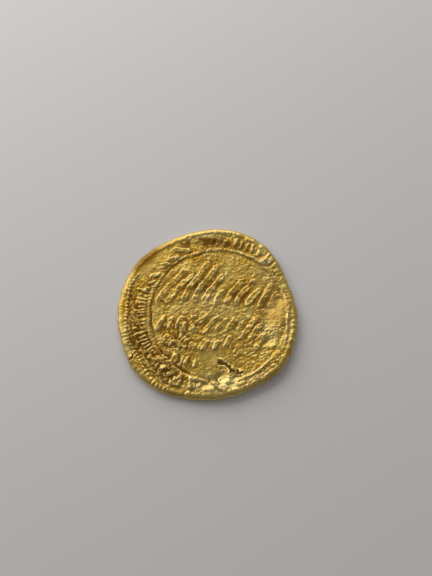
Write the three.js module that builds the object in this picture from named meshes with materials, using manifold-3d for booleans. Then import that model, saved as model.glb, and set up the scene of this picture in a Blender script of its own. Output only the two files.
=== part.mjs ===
// A hand-struck gold coin, lying with its better-kept face up. Millimetres, +Z up, and the origin lies under the
// middle of the coin, at the level that it rests on.
//
// The coin is one piece of gold. Its blank, the flan, was cut a little out of round and hammered between two
// dies. Each die left a thin raised circle, a margin of strokes that point to the middle, and rows of leaning
// strokes inside. The upper die also had a beaded border, and it sat off the middle of the flan, so that on one
// side the border runs off the edge. One stretch of the rim carries a low lip, another is bent up a little, and
// the upper face has a short crack and the edge a nick.

import * as THREE from "three";
import { mergeVertices } from "three/addons/utils/BufferGeometryUtils.js";
import Module from "manifold-3d";

const wasm = await Module();
wasm.setup();

// ---- Driving dimensions, in millimetres; directions are in degrees, anticlockwise from +X ----

// The flan's radius in eighteen even directions.
const RIM_RADII = [
  11.8, 11.4, 11.9, 12.33, 12.1, 11.68, 11.6, 11.9, 11.85,
  11.95, 12.05, 12.5, 12.45, 12.05, 11.95, 12.0, 12.4, 12.1,
];
const MEAN_RADIUS = 12;
const FIELD_THICKNESS = 0.76; // gold between the two fields
const RELIEF = 0.15; // height of the design above the field, on either face
const SHOULDER = 0.6; // width of the rounded rim, seen from above
const EDGE_SEGMENTS = 84;

const LIP = { middle: 82, halfWidth: 55, height: 0.16, least: 0.03 };
const BEND = { direction: -42, start: 4.5, end: 12, lift: 0.4 };
const CRACK = { from: [0.8, -6.9], direction: -20, length: 4.2, width: 0.5, depth: 0.14 };
const NICK = { from: [-10.9, -6.75], direction: 32, length: 1.35, width: 0.55, depth: 0.3 };

const LOWER_FIELD = RELIEF; // the lower design stands on z = 0
const UPPER_FIELD = LOWER_FIELD + FIELD_THICKNESS;
const MIDDLE = (LOWER_FIELD + UPPER_FIELD) / 2;
const TOP = UPPER_FIELD + RELIEF;

// A die's design is laid out on circles about its own middle. `margin` holds sectors of strokes: their spacing,
// their length and width, and how far they lean from the line to the middle. In `rows`, `heights` are the lengths
// of a row's strokes, and 0 is a gap.
const UPPER_DIE = {
  centre: new THREE.Vector2(1.4, -0.5),
  circle: { radius: 9.25, width: 0.5, sides: 72 },
  marginFrom: 9.62,
  margin: [
    { from: -74, to: -32, spacing: 0.95, lean: 4, length: 1.8, width: 0.55 },
    { from: -32, to: -6, spacing: 1.25, lean: 38, length: 1.6, width: 0.6 },
    { from: -6, to: 36, spacing: 0.62, lean: 0, length: 1.3, width: 0.42 },
    { from: 36, to: 76, spacing: 0.95, lean: 0, length: 1.8, width: 0.5 },
    { from: 76, to: 106, spacing: 1.2, lean: -14, length: 1.7, width: 0.7 },
    { from: 106, to: 138, spacing: 1.8, lean: 60, length: 3, width: 0.8 },
    { from: 138, to: 160, spacing: 1.25, lean: 52, length: 1.8, width: 0.62 },
    { from: 160, to: 216, spacing: 0.53, lean: 0, length: 1.85, width: 0.4 },
    { from: 216, to: 250, spacing: 1.15, lean: -28, length: 1.7, width: 0.66 },
  ],
  border: { radius: 12.15, from: 152, to: 241, spacing: 0.5 },
  rows: [
    { start: [-6.9, 1], pitch: 1.4, lean: 52, fall: 0, width: 0.86, heights: [6.4, 5.6] },
    { start: [-3.5, 1.1], pitch: 1.44, lean: 60, fall: 0.1, width: 0.92,
      heights: [7.2, 6.6, 5.2, 2.8, 4.8, 4.9, 3.4, 4.3, 2.9] },
    { start: [-6.9, -2.7], pitch: 1.32, lean: 55, fall: 0, width: 0.78,
      heights: [2.5, 2.1, 2.3, 2.9, 3.6, 2.7, 2, 2.5, 1.9] },
    { start: [-6.2, -5.5], pitch: 1.35, lean: 61, fall: 0, width: 0.74,
      heights: [2, 1.7, 2.4, 1.9, 2.6, 2.1, 2.4] },
    { start: [-4.9, -7.5], pitch: 1.35, lean: 62, fall: 0.1, width: 0.66, heights: [1.8, 1.6, 1.4] },
    { start: [3.3, -6.4], pitch: 1.45, lean: 60, fall: -0.4, width: 0.92, heights: [7, 5.1, 3] },
  ],
};
const LOWER_DIE = {
  centre: new THREE.Vector2(-0.4, 0.3),
  circle: { radius: 8, width: 0.7, sides: 56 },
  marginFrom: 8.9,
  margin: [{ from: 0, to: 360, spacing: 1.9, lean: 0, length: 1.5, width: 0.7 }],
  rows: [
    { start: [-4.6, 2.9], pitch: 1.9, lean: 60, fall: 0, width: 0.8, heights: [2.8, 3, 2.6, 2.8, 2.4] },
    { start: [-5, -5], pitch: 1.9, lean: 60, fall: 0, width: 0.8, heights: [2.6, 2.4, 2.8, 2.4, 2.6] },
  ],
  boss: { radius: 1.9, slope: 0.25, sides: 18 },
};

// ---- Small tools ----

const radians = THREE.MathUtils.degToRad;

function polar(radius, degrees, centre = new THREE.Vector2()) {
  return new THREE.Vector2(Math.cos(radians(degrees)), Math.sin(radians(degrees)))
    .multiplyScalar(radius)
    .add(centre);
}

// A closed geometry as a solid that can be joined and cut.
function solid(geometry) {
  geometry.deleteAttribute("normal");
  geometry.deleteAttribute("uv");
  const merged = mergeVertices(geometry, 1e-4);
  return new wasm.Manifold(new wasm.Mesh({
    numProp: 3,
    vertProperties: merged.attributes.position.array,
    triVerts: new Uint32Array(merged.index.array),
  }));
}

const join = (solids) => solids.reduce((whole, next) => whole.add(next));

// ---- The flan ----

const rimCurve = new THREE.CatmullRomCurve3(
  RIM_RADII.map((radius) => new THREE.Vector3(radius, 0, 0)), true, "catmullrom");

// The flan's radius in any direction, on a smooth closed curve through the named radii.
function rimRadius(degrees) {
  return rimCurve.getPoint(THREE.MathUtils.euclideanModulo(degrees / 360, 1)).x;
}

// The height of the lip that the die pushed up round the struck face, mostly along one stretch of the rim.
function lipHeight(degrees) {
  const away = Math.abs(THREE.MathUtils.euclideanModulo(degrees - LIP.middle + 180, 360) - 180);
  const fade = THREE.MathUtils.smoothstep(away, 0.3 * LIP.halfWidth, LIP.halfWidth);
  return THREE.MathUtils.lerp(LIP.height, LIP.least, fade);
}

// A thin disc with flat fields and a rounded edge, drawn out to the flan's outline.
function flan() {
  const crest = MEAN_RADIUS - SHOULDER;
  const profile = [
    [0, LOWER_FIELD],
    [0.62 * MEAN_RADIUS, LOWER_FIELD],
    [crest, LOWER_FIELD],
    [MEAN_RADIUS - 0.4 * SHOULDER, LOWER_FIELD + 0.09 * FIELD_THICKNESS],
    [MEAN_RADIUS - 0.1 * SHOULDER, LOWER_FIELD + 0.28 * FIELD_THICKNESS],
    [MEAN_RADIUS, LOWER_FIELD + 0.52 * FIELD_THICKNESS],
    [MEAN_RADIUS - 0.12 * SHOULDER, UPPER_FIELD - 0.28 * FIELD_THICKNESS],
    [MEAN_RADIUS - 0.45 * SHOULDER, UPPER_FIELD - 0.1 * FIELD_THICKNESS],
    [crest, UPPER_FIELD],
    [crest - 0.5 * SHOULDER, UPPER_FIELD],
    [0.62 * MEAN_RADIUS, UPPER_FIELD],
    [0, UPPER_FIELD],
  ].map(([radius, height]) => new THREE.Vector2(radius, height));
  const disc = new THREE.LatheGeometry(profile, EDGE_SEGMENTS).rotateX(Math.PI / 2);
  const at = disc.attributes.position;
  for (let i = 0; i < at.count; i++) {
    const [x, y, z] = [at.getX(i), at.getY(i), at.getZ(i)];
    const direction = THREE.MathUtils.radToDeg(Math.atan2(y, x));
    const stretch = rimRadius(direction) / MEAN_RADIUS;
    const onCrest = z > MIDDLE && Math.abs(Math.hypot(x, y) - crest) < 0.01;
    at.setXYZ(i, x * stretch, y * stretch, onCrest ? z + lipHeight(direction) : z);
  }
  return solid(disc);
}

// A prism on the flan's outline, drawn in by `inset`. The relief is cut with it, so that none hangs over the edge.
function flanPrism(inset) {
  const outline = Array.from({ length: EDGE_SEGMENTS }, (_, i) => {
    const direction = (i / EDGE_SEGMENTS) * 360;
    return polar(rimRadius(direction) - inset, direction);
  });
  const prism = new THREE.ExtrudeGeometry(new THREE.Shape(outline), { depth: 2 * TOP, bevelEnabled: false });
  return solid(prism.translate(0, 0, -TOP / 2));
}

// ---- Relief forms. Each is made with its flat top at z = 0 and its foot set under the field. ----

function raised(outline, slope, height = RELIEF) {
  const form = new THREE.ExtrudeGeometry(new THREE.Shape(outline), {
    depth: 0.06,
    bevelThickness: height,
    bevelSize: slope,
    bevelOffset: -slope,
    bevelSegments: 1,
  });
  return form.translate(0, 0, -height - 0.06);
}

// A stroke with pointed ends that starts at `foot`. A long one is bowed a little to its left.
function stroke(foot, degrees, length, width, height = RELIEF) {
  const reach = (length - width) / 2;
  const bow = length > 2 ? 0.03 * length : 0;
  const steps = bow === 0 ? 1 : 3;
  const side = (offset) => Array.from({ length: steps + 1 }, (_, i) => {
    const along = (2 * i) / steps - 1;
    return new THREE.Vector2(along * reach, bow * (1 - along * along) + offset);
  });
  const outline = [
    new THREE.Vector2(-length / 2, 0),
    ...side(-width / 2),
    new THREE.Vector2(length / 2, 0),
    ...side(width / 2).reverse(),
  ];
  return raised(outline, Math.min(0.14, 0.28 * width), height)
    .translate(length / 2, 0, 0)
    .rotateZ(radians(degrees))
    .translate(foot.x, foot.y, 0);
}

function pellet(centre, radius, slope, sides) {
  const outline = Array.from({ length: sides }, (_, i) => polar(radius, (i / sides) * 360));
  return raised(outline, slope).translate(centre.x, centre.y, 0);
}

function raisedCircle(centre, { radius, width, sides }) {
  const foot = -RELIEF - 0.06;
  const profile = [
    [radius - width / 2, foot],
    [radius + width / 2, foot],
    [radius + width / 4, 0],
    [radius - width / 4, 0],
    [radius - width / 2, foot],
  ].map(([across, height]) => new THREE.Vector2(across, height));
  const circle = new THREE.LatheGeometry(profile, sides).rotateX(Math.PI / 2);
  return circle.translate(centre.x, centre.y, 0);
}

// ---- The dies ----

// Strokes side by side round the margin. Their lengths and leans wander a little, as the die's cutter let them.
function marginSector(die, { from, to, spacing, lean, length, width }) {
  const arc = radians(to - from) * (die.marginFrom + length / 2);
  const count = Math.round(arc / spacing);
  return Array.from({ length: count }, (_, i) => {
    const direction = from + ((to - from) * (i + 0.5)) / count;
    const foot = polar(die.marginFrom, direction, die.centre);
    const wander = 8 * spacing * Math.sin(1.7 * i);
    return stroke(foot, direction + lean + wander, length * (0.86 + 0.14 * Math.cos(2.4 * i)), width);
  });
}

function beadedBorder(die) {
  const { radius, from, to, spacing } = die.border;
  const count = Math.round((radians(to - from) * radius) / spacing);
  return Array.from({ length: count }, (_, i) =>
    pellet(polar(radius, from + ((to - from) * i) / (count - 1), die.centre), 0.46 * spacing, 0.1, 6));
}

// How far a line from `foot` runs before it meets the die's circle.
function roomInside(die, foot, degrees) {
  const fromCentre = foot.clone().sub(die.centre);
  const along = fromCentre.dot(polar(1, degrees));
  const limit = die.circle.radius - die.circle.width;
  return Math.sqrt(along * along - fromCentre.lengthSq() + limit * limit) - along;
}

// Leaning strokes side by side.
function row(die, { start, pitch, lean, fall, width, heights }) {
  return heights.flatMap((height, i) => {
    if (height === 0) return [];
    const foot = new THREE.Vector2(start[0] + i * pitch, start[1] - i * fall);
    const length = Math.min(height, roomInside(die, foot, lean));
    return [stroke(foot, lean, length, width)];
  });
}

function design(die) {
  return [
    raisedCircle(die.centre, die.circle),
    ...die.margin.flatMap((sector) => marginSector(die, sector)),
    ...die.rows.flatMap((line) => row(die, line)),
  ];
}

// ---- The coin ----

const keptOnFlan = flanPrism(0.7 * SHOULDER);

const upperForms = [...design(UPPER_DIE), ...beadedBorder(UPPER_DIE)];
const upperRelief = join(upperForms.map((form) => solid(form.translate(0, 0, TOP))));

const { boss } = LOWER_DIE;
const lowerForms = [...design(LOWER_DIE), pellet(new THREE.Vector2(), boss.radius, boss.slope, boss.sides)];
const lowerRelief = join(lowerForms.map((form) => solid(form.rotateX(Math.PI))));

// The crack and the nick are cut by strokes turned upside down.
function cut({ from, direction, length, width, depth }) {
  const cutter = stroke(new THREE.Vector2(from[0], -from[1]), -direction, length, width, depth);
  return solid(cutter.rotateX(Math.PI).translate(0, 0, UPPER_FIELD - depth));
}

const struck = flan()
  .add(upperRelief.intersect(keptOnFlan))
  .add(lowerRelief.intersect(keptOnFlan))
  .subtract(cut(CRACK))
  .subtract(cut(NICK));

const { vertProperties, triVerts } = struck.getMesh();
const geometry = new THREE.BufferGeometry();
geometry.setAttribute("position", new THREE.BufferAttribute(vertProperties, 3));
geometry.setIndex(new THREE.BufferAttribute(triVerts, 1));

// The bend: past its start, the coin curves up towards the edge.
const at = geometry.attributes.position;
const bendDirection = polar(1, BEND.direction);
for (let i = 0; i < at.count; i++) {
  const along = bendDirection.dot(new THREE.Vector2(at.getX(i), at.getY(i)));
  const past = Math.max(0, (along - BEND.start) / (BEND.end - BEND.start));
  at.setZ(i, at.getZ(i) + BEND.lift * past * past);
}

// The origin goes under the middle of the coin.
geometry.computeBoundingBox();
const { min, max } = geometry.boundingBox;
geometry.translate(-(min.x + max.x) / 2, -(min.y + max.y) / 2, -min.z);
geometry.computeVertexNormals();

const gold = new THREE.MeshStandardMaterial({ color: 0xc9a54b, roughness: 0.35, metalness: 1 });
const coin = new THREE.Mesh(geometry, gold);
coin.name = "coin";

const group = new THREE.Group();
group.add(coin);
export default group;
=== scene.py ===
import math

import bmesh
import bpy
import numpy as np
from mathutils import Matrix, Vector
from mathutils.bvhtree import BVHTree


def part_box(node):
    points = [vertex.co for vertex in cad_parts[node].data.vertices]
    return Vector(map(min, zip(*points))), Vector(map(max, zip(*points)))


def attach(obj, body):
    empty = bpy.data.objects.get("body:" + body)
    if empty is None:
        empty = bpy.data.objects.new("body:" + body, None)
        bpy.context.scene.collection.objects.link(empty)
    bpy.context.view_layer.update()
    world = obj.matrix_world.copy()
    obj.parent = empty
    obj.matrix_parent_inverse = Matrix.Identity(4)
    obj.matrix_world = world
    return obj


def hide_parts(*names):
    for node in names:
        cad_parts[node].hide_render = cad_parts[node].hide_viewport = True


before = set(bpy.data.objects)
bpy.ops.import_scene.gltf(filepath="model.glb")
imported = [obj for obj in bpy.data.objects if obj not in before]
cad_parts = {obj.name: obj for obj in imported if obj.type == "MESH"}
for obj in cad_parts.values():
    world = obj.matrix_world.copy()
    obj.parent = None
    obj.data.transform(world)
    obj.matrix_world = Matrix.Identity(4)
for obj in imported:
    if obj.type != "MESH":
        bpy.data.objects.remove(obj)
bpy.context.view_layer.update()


# ---- The struck solid ----------------------------------------------------------------------------------
# A hammered gold coin is one disc of high-carat gold, struck cold between two hand-cut dies. The packed
# solid gives its outline, its edge and the forms of both designs, and the surface is laid over it.

# The coin is worked out in millimetres, and MM turns them into metres.
MM = 0.001
OUTSIDE = 15.0  # a distance from the middle that is clear of the coin
DIRECTIONS = 1440  # in which the outline is measured
EDGE_LEVELS = 18  # the number of heights at which the edge is measured
HAMMERED = 0.035  # how far the hammered edge strays from its smooth outline

joined = bmesh.new()
joined.from_mesh(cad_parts["coin"].data)
bmesh.ops.remove_doubles(joined, verts=joined.verts, dist=1e-7)
solid = BVHTree.FromBMesh(joined)
joined.free()


def reach_of_solid(start, direction):
    """How far out, in millimetres, the solid reaches against a line that comes in from OUTSIDE."""
    hit = solid.ray_cast(Vector(start) * MM, Vector(direction))
    return -math.inf if hit[0] is None else OUTSIDE - hit[3] / MM


def round_smoothed(values, width):
    """Evens out values that run round the coin, over `width` degrees."""
    turns = np.fft.rfftfreq(len(values), 360 / len(values))
    return np.fft.irfft(np.fft.rfft(values) * np.exp(-2 * (math.pi * width * turns) ** 2), len(values))


def around(values, x, y):
    """The value, in the direction of each point, of something that was measured round the coin."""
    place = np.mod(np.arctan2(y, x) / (2 * math.pi), 1) * len(values)
    return np.interp(place, np.arange(len(values) + 1), np.append(values, values[0]))


# The outline: how far the edge reaches in every direction, and how high its widest line lies.
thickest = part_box("coin")[1].z / MM
edge_heights = np.linspace(0.1, 0.95, EDGE_LEVELS) * thickest
rim_radius = np.zeros(DIRECTIONS)
rim_height = np.zeros(DIRECTIONS)
for i in range(DIRECTIONS):
    turn = 2 * math.pi * i / DIRECTIONS
    out = Vector((math.cos(turn), math.sin(turn), 0))
    reaches = np.array([reach_of_solid(out * OUTSIDE + Vector((0, 0, z)), -out) for z in edge_heights])
    rim_radius[i] = reaches.max()
    rim_height[i] = edge_heights[reaches > reaches.max() - 0.02].mean()

uneven = round_smoothed(np.random.default_rng(7).standard_normal(DIRECTIONS), 1.1)
rim_radius = round_smoothed(rim_radius, 1.5) + HAMMERED * uneven / uneven.std()
rim_height = round_smoothed(rim_height, 4)


# ---- The upper face: flan, die and damage --------------------------------------------------------------
# The die was struck off the flan's middle, so its circle lies to the right and its border runs off the edge
# there. The blow opened a crack, the edge was nicked, and parts of the face were pushed up or rubbed smooth.

# Both faces are measured on lines parallel to Z, as maps of heights, and the functions here work on the maps.
CELL = 0.05  # spacing of the height maps
MAP_REACH = 12.8  # half the width of the height maps
MAP_SIZE = int(2 * MAP_REACH / CELL)
SHOULDER = 0.6  # width of the rounded rim, which belongs to the wall

steps = (np.arange(MAP_SIZE) + 0.5) * CELL - MAP_REACH
map_x, map_y = np.meshgrid(steps, steps)
map_rim = around(rim_radius, map_x, map_y) - SHOULDER
map_radius = np.hypot(map_x, map_y)


def measured_face(side):
    """Heights of the upper (side 1) or lower (side -1) face. Past the rim, the last height runs on out."""
    shrink = np.minimum(1, map_rim / map_radius)
    heights = [side * reach_of_solid((x, y, side * OUTSIDE), (0, 0, -side))
               for x, y in zip((map_x * shrink).ravel(), (map_y * shrink).ravel())]
    return np.array(heights).reshape(map_x.shape)


def blurred(height_map, width):
    """A height map evened out over `width` millimetres."""
    across = np.fft.rfftfreq(MAP_SIZE, CELL)[None, :]
    along = np.fft.fftfreq(MAP_SIZE, CELL)[:, None]
    keep = np.exp(-2 * (math.pi * width) ** 2 * (across ** 2 + along ** 2))
    return np.fft.irfft2(np.fft.rfft2(height_map) * keep, s=height_map.shape)


def spread(height_map, pick):
    """The least (pick np.minimum) or greatest (np.maximum) height within 15 cells of each cell."""
    for shift in (1, 2, 4, 8):
        for axis in (0, 1):
            near = pick(np.roll(height_map, shift, axis), np.roll(height_map, -shift, axis))
            height_map = pick(height_map, near)
    return height_map


def noise(width, seed):
    """Soft random hills about `width` millimetres wide, with a mean of 0 and a spread of 1."""
    hilly = blurred(np.random.default_rng(seed).standard_normal(map_x.shape), width)
    return (hilly - hilly.mean()) / hilly.std()


def hills(*layers):
    """Random hills of several sizes. Each layer is a width, a height and a seed."""
    return sum(height * noise(width, seed) for width, height, seed in layers)


def varied(mean, low, high, *layers):
    """A share that varies about `mean` over the face, with the layers of hills(), from `low` to `high`."""
    return np.clip(mean + hills(*layers), low, high)


def eased(values, low, high):
    """0 below `low`, 1 above `high` and a smooth step between."""
    t = np.clip((values - low) / (high - low), 0, 1)
    return t * t * (3 - 2 * t)


def patch(x, y, along, across, degrees=0):
    """1 in the middle of an oval place on the coin, falling smoothly to 0 at its edge."""
    turn = math.radians(degrees)
    u = ((map_x - x) * math.cos(turn) + (map_y - y) * math.sin(turn)) / along
    v = ((map_y - y) * math.cos(turn) - (map_x - x) * math.sin(turn)) / across
    return 1 - eased(np.hypot(u, v), 0.3, 1)


def sampled(height_map, x, y):
    """A height map's value at each point, from its four nearest cells."""
    column = np.clip((x + MAP_REACH) / CELL - 0.5, 0, MAP_SIZE - 1.001)
    row = np.clip((y + MAP_REACH) / CELL - 0.5, 0, MAP_SIZE - 1.001)
    c, r = column.astype(int), row.astype(int)
    across, along = ((part - part.astype(int)).reshape(part.shape + (1,) * (height_map.ndim - 2))
                     for part in (column, row))
    near = height_map[r, c] * (1 - across) + height_map[r, c + 1] * across
    far = height_map[r + 1, c] * (1 - across) + height_map[r + 1, c + 1] * across
    return near * (1 - along) + far * along


def wandered(height_map, distances):
    """A height map whose forms are shifted here and there, by pairs of a hill's width and a distance."""
    shift_x = sum(shift * noise(width, 10 + k) for k, (width, shift) in enumerate(distances))
    shift_y = sum(shift * noise(width, 20 + k) for k, (width, shift) in enumerate(distances))
    return sampled(height_map, map_x + shift_x, map_y + shift_y)


RELIEF = 0.15  # height of the design above the field
DIE_CENTRE = (1.4, -0.5)
CIRCLE_RADIUS = 9.25
CIRCLE_REACH = 0.45  # half the circle's width, with its slopes
CIRCLE_BEADS = 128
BORDER_RADIUS = 12.15

# The flan's own face, without any small form, and the design that stands on it.
upper = measured_face(1)
flan_face = upper
for pick in (np.minimum, np.maximum, np.maximum, np.minimum):
    flan_face = spread(flan_face, pick)
flan_face = blurred(flan_face, 0.3)
design = np.clip((upper - flan_face) / RELIEF, 0, 1)

# The crack and the nick, with torn edges. The crack is deepest in its middle.
cuts = wandered(np.minimum(upper - flan_face, 0), [(0.5, 0.1), (0.16, 0.15)])
cuts *= 1 + 0.6 * patch(2.8, -7.6, 3.4, 2)
cut_open = np.clip(-cuts / 0.08, 0, 1)
torn_edges = blurred(cut_open, 0.25) * (1 - cut_open) * varied(0.7, 0, 2, (0.2, 1, 21))

# Where the parts of the die lie. Its circle is beaded on the left and plain on the right.
die_x, die_y = map_x - DIE_CENTRE[0], map_y - DIE_CENTRE[1]
from_die = np.hypot(die_x, die_y)
inside = 1 - eased(from_die + 0.08 * noise(0.8, 18), CIRCLE_RADIUS - 0.4, CIRCLE_RADIUS - 0.1)
on_circle = eased(CIRCLE_REACH - abs(from_die - CIRCLE_RADIUS), 0, 0.2)
in_margin = eased(from_die, CIRCLE_RADIUS + 0.35, CIRCLE_RADIUS + 0.55)
on_border = eased(from_die, BORDER_RADIUS - 0.45, BORDER_RADIUS - 0.3)
on_rim = eased(map_radius - map_rim, -0.7, -0.3)
beads = 0.5 + 0.5 * np.cos(CIRCLE_BEADS * np.arctan2(die_y, die_x))
beaded_side = 1 - eased(map_x - 0.4 * map_y, -2, 5)

# Places on the flan: rubbed smooth, pushed up a little, lumpy, jarred by a second blow, or dark with soil.
smooth = np.maximum.reduce([
    patch(-7.5, 7.2, 4.6, 1.7, 48),
    patch(8.9, -0.2, 1.6, 3, -10),
    patch(0.2, -6.4, 1.8, 1.2),
    patch(-8.2, 0, 1, 2.6, 8),
])
right_swell = patch(8.8, -0.3, 2.2, 4, -10)
foot_swell = patch(1.4, -10.2, 5, 1.6)
small_swell = patch(7.8, 7.1, 1.2, 0.7, 10)
foot = patch(-0.5, -10, 6.5, 2.2) * (1 - inside)
jarred = 0.8 * patch(-3, -3.8, 6, 4.2) * inside
left_margin = patch(-9.8, -1.3, 2.8, 6.2, 8)
upper_left = patch(-8.6, 8.15, 7, 2.2, 48)
lower_left = patch(-5.5, -7.6, 6, 3.6, -45)


# ---- The upper face: the strokes -----------------------------------------------------------------------
# The die was cut by hand with fine gravers, so each stroke has two sharp edges and a sunken middle. The
# second blow of the hammer landed beside the first, and years of handling wore the strokes down unevenly.

STEADY = [(1.1, 0.12), (0.3, 0.025), (0.12, 0.02)]  # how outlines wander where the blows fell true
LOOSE = [(0.8, 0.3), (0.3, 0.06), (0.12, 0.02)]  # and where they jarred
EDGE_HEIGHT = 0.24  # what a stroke's sharp edges add, as a share of the relief
SECOND_BLOW = (0.42, -0.2)  # the way from a mark of the second blow to that of the first


def band(values, middle, width):
    """1 where values are at `middle`, falling to 0 on both sides as a bell does."""
    return np.exp(-((values - middle) / width) ** 2)


# The strokes' outlines wander, and their left edges are the sharper.
steady, loose = wandered(design, STEADY), wandered(design, LOOSE)
design = steady + (loose - steady) * np.maximum(jarred, 0.45 * left_margin * (1 - on_border))
design = eased(design, 0.2, 0.9)
soft = blurred(design, 0.12)
slope_y, slope_x = np.gradient(soft, CELL)
left_edge = eased(slope_x - 0.6 * slope_y, -1, 1)
sharpness = varied(0.6, 0, 1.6, (0.26, 0.5, 14), (0.7, 0.4, 25)) * (0.25 + 1.05 * left_edge)
sharpness *= np.maximum(0.1 + 0.9 * inside, on_border) * (1 - on_circle) * (1 - 0.8 * lower_left)
form = 0.8 * blurred(design, 0.04) + EDGE_HEIGHT * band(soft, 0.72, 0.15) * sharpness
form *= varied(1, 0.4, 1.6, (0.2, 0.28, 28))
second_form = sampled(form, map_x + SECOND_BLOW[0], map_y + SECOND_BLOW[1])
form = np.maximum(form, 0.8 * jarred * second_form)

# What wear left of them. It left least of the circle on its beaded side, and most in the margin.
kept = varied(0.85, 0.3, 1.3, (1.2, 0.28, 8), (0.35, 0.16, 26))
kept *= (1 - 0.6 * smooth) * (1 - 0.25 * jarred) * (1 - 0.38 * patch(0.6, 2, 9, 7))
kept *= 1 - 0.35 * lower_left
kept_on_circle = (0.9 - (0.6 - 0.5 * beads) * beaded_side) * varied(0.8, 0, 1, (0.9, 0.4, 11))
kept *= 1 - on_circle * (1 - kept_on_circle)
kept *= (1 + 0.5 * in_margin + 0.5 * on_border) * (1 - 0.6 * on_rim * (1 - on_border))


# ---- The upper face: its surface -----------------------------------------------------------------------
# Struck gold is never flat: the die's pitted field left a grain about a tenth of a millimetre wide, and the
# metal swelled under the blows, tore at the edge and took small knocks.

FIELD_SINK = 0.07  # how far the field inside the circle is sunk
GROOVE_RADIUS = 8.9  # of the groove that runs inside the circle's beads
GROOVE_WIDTH = 0.2
GROOVE_DEPTH = 0.09
PIT_DEPTH = 0.08
TORN_HEIGHT = 0.25  # of the metal thrown up beside the crack and the nick
RIDGE_HEIGHT = 0.035  # of the ridge that runs round inside the rounded rim
SWELL_HEIGHT = 0.1  # of the small swelling at the upper right
SPECK_HEIGHT = 0.05  # of the specks of metal that stand in the field
JARRED_HEIGHT = 0.05  # of the lumps where the blows jarred
FOOT_HEIGHT = 0.2  # of the lumps below the circle

# Small knocks, each a place where the face is tilted: x, y and half its width.
KNOCKS = [(2.1, -9.2, 1.5), (3.9, -9.5, 1.2), (0.3, -10.2, 1.2), (-1.4, -9.9, 0.9), (8.2, -4.5, 1.3)]


def slope(x, y, rise_x, rise_y):
    """Heights on a slope that is 0 at a point."""
    return rise_x * (map_x - x) + rise_y * (map_y - y)


wavy_radius = from_die + hills((1.5, 0.1, 15), (0.3, 0.05, 16))
groove = band(wavy_radius, GROOVE_RADIUS, GROOVE_WIDTH) * beaded_side * (0.6 + 0.4 * beads)
groove *= varied(0.8, 0, 1.2, (0.8, 0.4, 17))
pits = eased(noise(0.15, 12), 1.3, 1.8) * patch(0.5, -9.6, 7, 2.6)  # in the lower margin
specks = eased(noise(0.15, 27), 0.8, 1.7) * (0.55 + 0.45 * patch(-1.5, -1.5, 8, 6)) * inside * (1 - smooth)
crowded = eased(blurred(design, 0.5), 0.12, 0.4)  # where strokes stand close together
coarse = 1.1 - 0.2 * soft + 0.6 * patch(7.5, -4, 4, 6) - 0.2 * patch(0, 3, 9, 6)
coarse = coarse * (1 - 0.65 * smooth) + 0.7 * lower_left  # how coarse the grain is

top = flan_face + RELIEF * form * kept + cuts
top -= FIELD_SINK * inside + GROOVE_DEPTH * groove + PIT_DEPTH * pits
top += TORN_HEIGHT * torn_edges + RIDGE_HEIGHT * band(map_radius - map_rim, -0.05, 0.13)
top += SWELL_HEIGHT * small_swell + slope(8.8, -0.3, 0.16, -0.05) * right_swell
top += slope(1.4, -10.2, 0, -0.15) * foot_swell
for x, y, size in KNOCKS:
    top += slope(x, y, 0.22, -0.2) * patch(x, y, size, 0.75 * size)
top += coarse * hills((0.06, 0.0115, 1), (0.12, 0.0085, 2)) + hills((0.5, 0.012, 3), (1.4, 0.016, 4))
top += (0.008 + 0.012 * crowded) * noise(0.25, 22) + SPECK_HEIGHT * specks
top += JARRED_HEIGHT * jarred * eased(noise(0.26, 9), 0.1, 0.9)
top += FOOT_HEIGHT * foot * eased(noise(0.42, 19), -0.1, 0.5)


# ---- The upper face: wear, tone, soil and painted light ------------------------------------------------
# Every high point is rubbed bright, and the sharp edges and some places that catch the light are painted as
# highlights. Gold between close strokes and in hollows has toned and is darkened further as painted shade,
# and red-brown soil with painted shade is left in the margin, under the lip, in the groove and in every cut.

# Rubbed metal on all that stands up, its sharp edges also a painted highlight, and whole places made paler,
# partly as rubbed metal and partly as painted highlight where the face catches the light.
rubbed_and_highlight = 0.62 * eased(top - blurred(top, 0.15), 0.004, 0.03) * (1 - 0.5 * left_margin)
for place, amount in (
    (right_swell, 0.18),
    (foot_swell, 0.4),
    (small_swell, 0.8),
    (patch(2.4, -9.7, 2.8, 1.4), 0.6),  # the foot's middle
    (patch(0, -9, 1.8, 1.1), 0.3),
    (patch(6, -9.3, 2.6, 1.8), 0.3),  # the bent-up rim
    (patch(0, 0.8, 4.5, 3), 0.2),  # the middle of the field
    (patch(8, 5.5, 2.6, 5), 0.2),  # the upper right
    (patch(8, -3, 2, 2.6), 0.3),  # the lower right
    (patch(10.6, -1.5, 1.8, 3.6), 0.25),  # the right rim
    (patch(-10.8, -4, 1.5, 3.6), 0.3),  # the left rim
    (patch(-10.7, 4, 1.5, 2.8), 0.15),
    (patch(0.8, 11, 3.4, 1.1), 0.35),  # the upper lip
):
    rubbed_and_highlight = np.maximum(rubbed_and_highlight, amount * place)

# Toned metal, a warmer and darker yellow, and painted shade. The hollows and the gaps between close strokes
# are darkened as painted shade, and so are the places inside the circle at the top and at its left, where
# its inner slope is shaded. The band at the upper left and the rims at the lower left and upper right are
# simply made darker.
hollows = np.clip((blurred(top, 0.3) - top) / (0.03 - 0.012 * left_margin), 0, 1)
toned_and_shade = np.maximum((0.35 * crowded + 0.35 * hollows) * (1 - rubbed_and_highlight), upper_left)
for place in (
    patch(0, 7.2, 3.4, 2),  # inside the circle, at the top
    patch(-4, -10.8, 2.2, 1),  # the lower left rim
    patch(-8, 1, 1.6, 2),  # the circle's left
    patch(9.7, 8.6, 1.8, 1.5),  # the upper right rim
):
    toned_and_shade = np.maximum(toned_and_shade, 0.5 * place)
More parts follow.
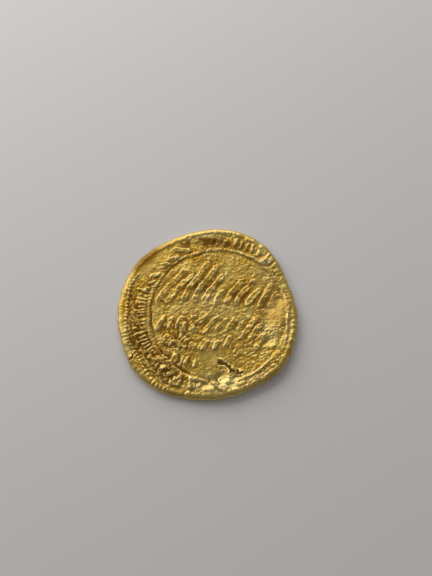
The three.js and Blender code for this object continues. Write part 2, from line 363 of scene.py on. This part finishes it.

# Soil, in hollows where the face is dirty, and as a thin film where it is dirtiest. In the hollows it is also
# painted shade, and the patch round the crack is a painted shadow.
soil_and_shade_level = 0.35 + 0.25 * noise(1.2, 5) + 1.05 * left_margin - 0.6 * smooth - 0.5 * foot_swell
for place, amount in (
    (patch(-6, -7.5, 4.5, 3, -45), 1.3),  # the lower left
    (patch(-3.4, -4.2, 3.4, 2.4), 0.5),
    (patch(-6, 1, 2.4, 1.4), 0.8),  # the start of the rows
    (patch(-1.5, 5, 5.5, 3.4, -15), 0.3),  # the tall strokes
    (patch(-2, 9.3, 5.5, 1.8, 5), 0.5),  # the upper margin
    # a painted shadow round the crack, as well as soil
    (patch(2.6, -7.5, 2.4, 1.4, -25), 0.7),  # round the crack
    (patch(0, 0.8, 4.5, 3.4), -0.35),  # cleaner places
    (patch(8, 5.5, 3, 5), -0.4),
    (patch(3, -9.3, 5, 2), -0.4),
):
    soil_and_shade_level += amount * place
soil_and_shade_level = np.clip(soil_and_shade_level, 0, 1.5) * (1 - 0.85 * on_rim)
soil_and_shade = hollows * soil_and_shade_level + 0.4 * np.maximum(soil_and_shade_level - 0.7, 0)
# Painted shade inside the upper lip, where its slope faces away from the light. The groove, the cuts and the
# pits are darkened as soil and as painted shade.
shade_under_lip = patch(-1, 10, 5, 1, 3) * (1 - on_rim) * varied(0.75, 0, 1, (0.3, 0.4, 24))
dark_spot = 0.9 * patch(2.6, 9.7, 0.8, 0.6)
for spot in (shade_under_lip, dark_spot, groove, 0.5 * upper_left, 0.75 * cut_open, 0.8 * pits):
    soil_and_shade = np.maximum(soil_and_shade, spot)

# The wear and painted light go onto the surface as a colour: red is rubbed metal and painted highlight, green
# is toned metal and painted shade, and blue is soil and painted shade.
upper_wear_and_painted_light = np.stack([np.clip(rubbed_and_highlight, 0, 1), toned_and_shade, np.clip(soil_and_shade, 0, 1), np.ones_like(top)], -1)


# ---- The lower face ------------------------------------------------------------------------------------
# The lower die's design is plainer and more worn, with a raised circle, a ring of strokes and two rows of
# them. The coin rests on the low boss in its middle, so nothing reaches under z = 0.

LOWER_WEAR = 0.09  # width over which wear evened it out
LOWER_GRAIN = 0.008

lower = measured_face(-1)
bottom = blurred(wandered(lower, [(1.1, 0.12), (0.35, 0.05)]), LOWER_WEAR) + LOWER_GRAIN * noise(0.15, 6)
bottom = np.maximum(bottom, 0)
# Red-brown soil and painted shade in the lower face's hollows, and paler rubbed metal where it stands out.
depth = bottom - blurred(bottom, 0.4)
lower_soil_and_shade = np.clip(depth / 0.13, 0, 0.6)
lower_wear_and_painted_light = np.stack([eased(-depth, 0, 0.05), 0 * depth, lower_soil_and_shade, np.ones_like(depth)], -1)


# ---- The coin's surface --------------------------------------------------------------------------------
# Two square grids, each rounded into a disc and set on its face, and a rounded wall between them. The wall
# is the flan's own hammered edge, rubbed by handling.

UPPER_CELLS = 256
LOWER_CELLS = 128
WALL_ROWS = 12
WALL_RUBBED = 0.3

coin_mesh = bmesh.new()
wear_and_painted_light_layer = coin_mesh.verts.layers.float_color.new("wear")


def set_places(verts, x, y, z, wears_and_painted_light):
    """Puts vertices at places in millimetres and gives them their wear and painted light."""
    for vert, place, wear in zip(verts, np.stack([x, y, z], 1) * MM, wears_and_painted_light):
        vert.co = place
        vert[wear_and_painted_light_layer] = wear


def face_grid(cells, height_map, wear_and_painted_light_map):
    """A square grid, rounded into a disc within the rim and set on a face."""
    verts = bmesh.ops.create_grid(coin_mesh, x_segments=cells, y_segments=cells, size=1)["verts"]
    u, v = np.array([vert.co[:2] for vert in verts]).T
    x, y = u * np.sqrt(1 - v * v / 2), v * np.sqrt(1 - u * u / 2)
    reach = around(rim_radius, x, y) - SHOULDER
    x, y = x * reach, y * reach
    set_places(verts, x, y, sampled(height_map, x, y), sampled(wear_and_painted_light_map, x, y))


face_grid(UPPER_CELLS, top, upper_wear_and_painted_light)
blurred_wear_and_painted_light = np.stack([blurred(upper_wear_and_painted_light[..., k], 0.3) for k in range(4)], -1)
edges = [edge for edge in coin_mesh.edges if edge.is_boundary]
for row in range(1, WALL_ROWS + 1):
    down = math.pi * row / WALL_ROWS
    made = bmesh.ops.extrude_edge_only(coin_mesh, edges=edges)["geom"]
    edges = [part for part in made if isinstance(part, bmesh.types.BMEdge)]
    verts = [part for part in made if isinstance(part, bmesh.types.BMVert)]
    turns = np.array([math.atan2(vert.co.y, vert.co.x) for vert in verts])
    x, y = np.cos(turns), np.sin(turns)
    widest, middle = around(rim_radius, x, y), around(rim_height, x, y)
    face = top if row <= WALL_ROWS / 2 else bottom
    end = sampled(face, x * (widest - SHOULDER), y * (widest - SHOULDER))
    wears_and_painted_light = sampled(blurred_wear_and_painted_light, x * (widest - SHOULDER), y * (widest - SHOULDER))
    wears_and_painted_light[:, 0] = np.maximum(wears_and_painted_light[:, 0], WALL_RUBBED * math.sin(down))
    radius = widest - SHOULDER * (1 - math.sin(down))
    z = middle + (end - middle) * abs(math.cos(down))
    set_places(verts, x * radius, y * radius, z, wears_and_painted_light)

face_grid(LOWER_CELLS, bottom, lower_wear_and_painted_light)
bmesh.ops.bridge_loops(coin_mesh, edges=[edge for edge in coin_mesh.edges if edge.is_boundary])
bmesh.ops.remove_doubles(coin_mesh, verts=coin_mesh.verts, dist=1e-7)
bmesh.ops.recalc_face_normals(coin_mesh, faces=coin_mesh.faces)

coin_data = bpy.data.meshes.new("struck_coin")
coin_mesh.to_mesh(coin_data)
coin_mesh.free()
coin_data.polygons.foreach_set("use_smooth", [True] * len(coin_data.polygons))
coin = bpy.data.objects.new("struck_coin", coin_data)
bpy.context.scene.collection.objects.link(coin)
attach(coin, "root")
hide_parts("coin")


# ---- Worn gold -----------------------------------------------------------------------------------------
# Gold of about 21 carats, struck and then rubbed by handling: a warm yellow metal, satin where it is grainy
# and brighter where it is rubbed, with red-brown soil left in the hollows. Painted highlights make the sharp
# edges and some lit places paler, and painted shade darkens the hollows and the gaps between close strokes.

DARKER_GOLD = "#D2A134"
PALER_GOLD = "#E4C668"
# The toned colour is also painted shade, the rubbed colour also painted highlight, and the soil colour also
# painted shade.
TONED_AND_SHADE_GOLD = "#A16E0A"
RUBBED_AND_HIGHLIGHT_GOLD = "#F0DE9C"
SOIL_AND_SHADE_COLOUR = "#7C4C00"
SOIL_AND_SHADE_COVER = 0.9  # how much of the metal the thickest soil hides
SATIN = 0.44  # roughness of the struck gold
RUBBED_SATIN = 0.37
MATT = 0.8  # roughness of the soil
SOIL_GLOSS = 0.1  # the soil's specular level, low because it is matt
BLOTCH = 1.7 * MM  # width of the gold's paler and darker places
GRAIN = 0.2 * MM  # width of the finest grain of the struck surface
GRAIN_HEIGHT = 0.03 * MM


def linear(hex_colour):
    """An sRGB hex colour as the linear colour that a shader takes."""
    parts = [int(hex_colour[k:k + 2], 16) / 255 for k in (1, 3, 5)]
    return [p / 12.92 if p <= 0.04045 else ((p + 0.055) / 1.055) ** 2.4 for p in parts] + [1]


def add(tree, kind, settings=None, values=None, links=None):
    """Adds a node with its settings, the values of its inputs, and the sockets that feed its inputs."""
    node = tree.nodes.new(kind)
    for name, value in (settings or {}).items():
        setattr(node, name, value)
    for name, value in (values or {}).items():
        node.inputs[name].default_value = value
    for name, source in (links or {}).items():
        tree.links.new(source, node.inputs[name])
    return node


gold = bpy.data.materials.new("worn_gold_and_painted_light")
gold.use_nodes = True
tree = gold.node_tree
shader = tree.nodes["Principled BSDF"]
on_coin = add(tree, "ShaderNodeTexCoord").outputs["Object"]
wear_and_painted_light_colour = add(tree, "ShaderNodeAttribute", {"attribute_name": "wear"}).outputs["Color"]
wear_and_painted_light_parts = add(tree, "ShaderNodeSeparateColor", links={"Color": wear_and_painted_light_colour})
rubbed_and_highlight_amount, toned_and_shade_amount, soil_and_shade_amount = wear_and_painted_light_parts.outputs

# The metal: blotches of two tones, then toned places with painted shade and rubbed places with painted
# highlight.
blotches = add(tree, "ShaderNodeTexNoise", values={"Scale": 1 / BLOTCH, "Detail": 4},
               links={"Vector": on_coin})
tones = add(tree, "ShaderNodeValToRGB", links={"Fac": blotches.outputs["Fac"]})
tones.color_ramp.elements[0].position = 0.35
tones.color_ramp.elements[0].color = linear(DARKER_GOLD)
tones.color_ramp.elements[1].position = 0.65
tones.color_ramp.elements[1].color = linear(PALER_GOLD)
toned_and_shade_gold = add(tree, "ShaderNodeMix", {"data_type": "RGBA"}, {"B": linear(TONED_AND_SHADE_GOLD)},
                 {"Factor": toned_and_shade_amount, "A": tones.outputs["Color"]})
rubbed_and_highlight_gold = add(tree, "ShaderNodeMix", {"data_type": "RGBA"}, {"B": linear(RUBBED_AND_HIGHLIGHT_GOLD)},
                  {"Factor": rubbed_and_highlight_amount, "A": toned_and_shade_gold.outputs["Result"]})

# The soil and painted shade on it, which aren't metal and are matt.
soil_and_shade_cover = add(tree, "ShaderNodeMapRange", {"interpolation_type": "SMOOTHSTEP"},
                 {"From Min": 0.2, "From Max": 1.0, "To Max": SOIL_AND_SHADE_COVER},
                 {"Value": soil_and_shade_amount}).outputs["Result"]
colour = add(tree, "ShaderNodeMix", {"data_type": "RGBA"}, {"B": linear(SOIL_AND_SHADE_COLOUR)},
             {"Factor": soil_and_shade_cover, "A": rubbed_and_highlight_gold.outputs["Result"]})
tree.links.new(colour.outputs["Result"], shader.inputs["Base Color"])
clean = add(tree, "ShaderNodeMath", {"operation": "SUBTRACT"}, {0: 1.0}, {1: soil_and_shade_cover}).outputs["Value"]
tree.links.new(clean, shader.inputs["Metallic"])
satin = add(tree, "ShaderNodeMapRange", {}, {"To Min": SATIN, "To Max": RUBBED_SATIN},
            {"Value": rubbed_and_highlight_amount})
rough = add(tree, "ShaderNodeMapRange", {}, {"To Max": MATT},
            {"Value": soil_and_shade_cover, "To Min": satin.outputs["Result"]}).outputs["Result"]
tree.links.new(rough, shader.inputs["Roughness"])
shader.inputs["Specular IOR Level"].default_value = SOIL_GLOSS

# The finest grain, which breaks up the highlights.
grain = add(tree, "ShaderNodeTexNoise", values={"Scale": 1 / GRAIN, "Detail": 3}, links={"Vector": on_coin})
bump = add(tree, "ShaderNodeBump", values={"Strength": 0.5, "Distance": GRAIN_HEIGHT},
           links={"Height": grain.outputs["Fac"]})
tree.links.new(bump.outputs["Normal"], shader.inputs["Normal"])
coin_data.materials.append(gold)


# ---- The floor -----------------------------------------------------------------------------------------
# A plain pale studio floor that the coin lies on, of matt card: it has no gloss, so only the coin's soft
# shadow shows on it.

FLOOR_REACH = 0.6  # half its width, in metres
FLOOR_COLOUR = "#F3F0EE"

floor_mesh = bmesh.new()
bmesh.ops.create_grid(floor_mesh, x_segments=1, y_segments=1, size=FLOOR_REACH)
floor_data = bpy.data.meshes.new("floor")
floor_mesh.to_mesh(floor_data)
floor_mesh.free()
floor = bpy.data.objects.new("floor", floor_data)
bpy.context.scene.collection.objects.link(floor)
pale = bpy.data.materials.new("pale_floor")
pale.use_nodes = True
pale_shader = pale.node_tree.nodes["Principled BSDF"]
pale_shader.inputs["Base Color"].default_value = linear(FLOOR_COLOUR)
pale_shader.inputs["Roughness"].default_value = 0.9
floor_data.materials.append(pale)


# ---- Light and camera ----------------------------------------------------------------------------------
# One soft window-like light from behind on the left, and dim surroundings that are brighter at the back.
# The camera looks down on the coin. Lengths here are in metres, and the lens is in millimetres.

KEY_PLACE = (-0.08, 0.135, 0.088)
KEY_SIZE = (0.36, 0.18)
KEY_POWER = 0.31
NEAR_SIDE = 0.13  # how bright the surroundings are on the camera's side
FAR_SIDE = 0.32
ELEVATION = math.radians(69)
AIM = Vector((1.1, 3.6, 0)) * MM
DISTANCE = 120.8 * MM
LENS = 56.25

key_data = bpy.data.lights.new("key", "AREA")
key_data.shape = "RECTANGLE"
key_data.size, key_data.size_y = KEY_SIZE
key_data.energy = KEY_POWER
key = bpy.data.objects.new("key", key_data)
key.location = KEY_PLACE
key.rotation_euler = (-Vector(KEY_PLACE)).to_track_quat("-Z", "Y").to_euler()
bpy.context.scene.collection.objects.link(key)

world = bpy.data.worlds.new("studio")
bpy.context.scene.world = world
world.use_nodes = True
sky = world.node_tree.nodes["Background"]
sky.inputs["Color"].default_value = linear("#FFFFFF")
way = add(world.node_tree, "ShaderNodeTexCoord").outputs["Generated"]
backward = add(world.node_tree, "ShaderNodeSeparateXYZ", links={"Vector": way}).outputs["Y"]
brightness = add(world.node_tree, "ShaderNodeMapRange", {},
                 {"From Min": -1.0, "From Max": 1.0, "To Min": NEAR_SIDE, "To Max": FAR_SIDE},
                 {"Value": backward})
world.node_tree.links.new(brightness.outputs["Result"], sky.inputs["Strength"])

camera_data = bpy.data.cameras.new("camera")
camera_data.lens = LENS
camera_data.clip_start = 0.01
camera = bpy.data.objects.new("camera", camera_data)
camera.location = AIM + DISTANCE * Vector((0, -math.cos(ELEVATION), math.sin(ELEVATION)))
camera.rotation_euler = (math.pi / 2 - ELEVATION, 0, 0)
bpy.context.scene.collection.objects.link(camera)
bpy.context.scene.camera = camera
bpy.context.scene.view_settings.view_transform = "Standard"
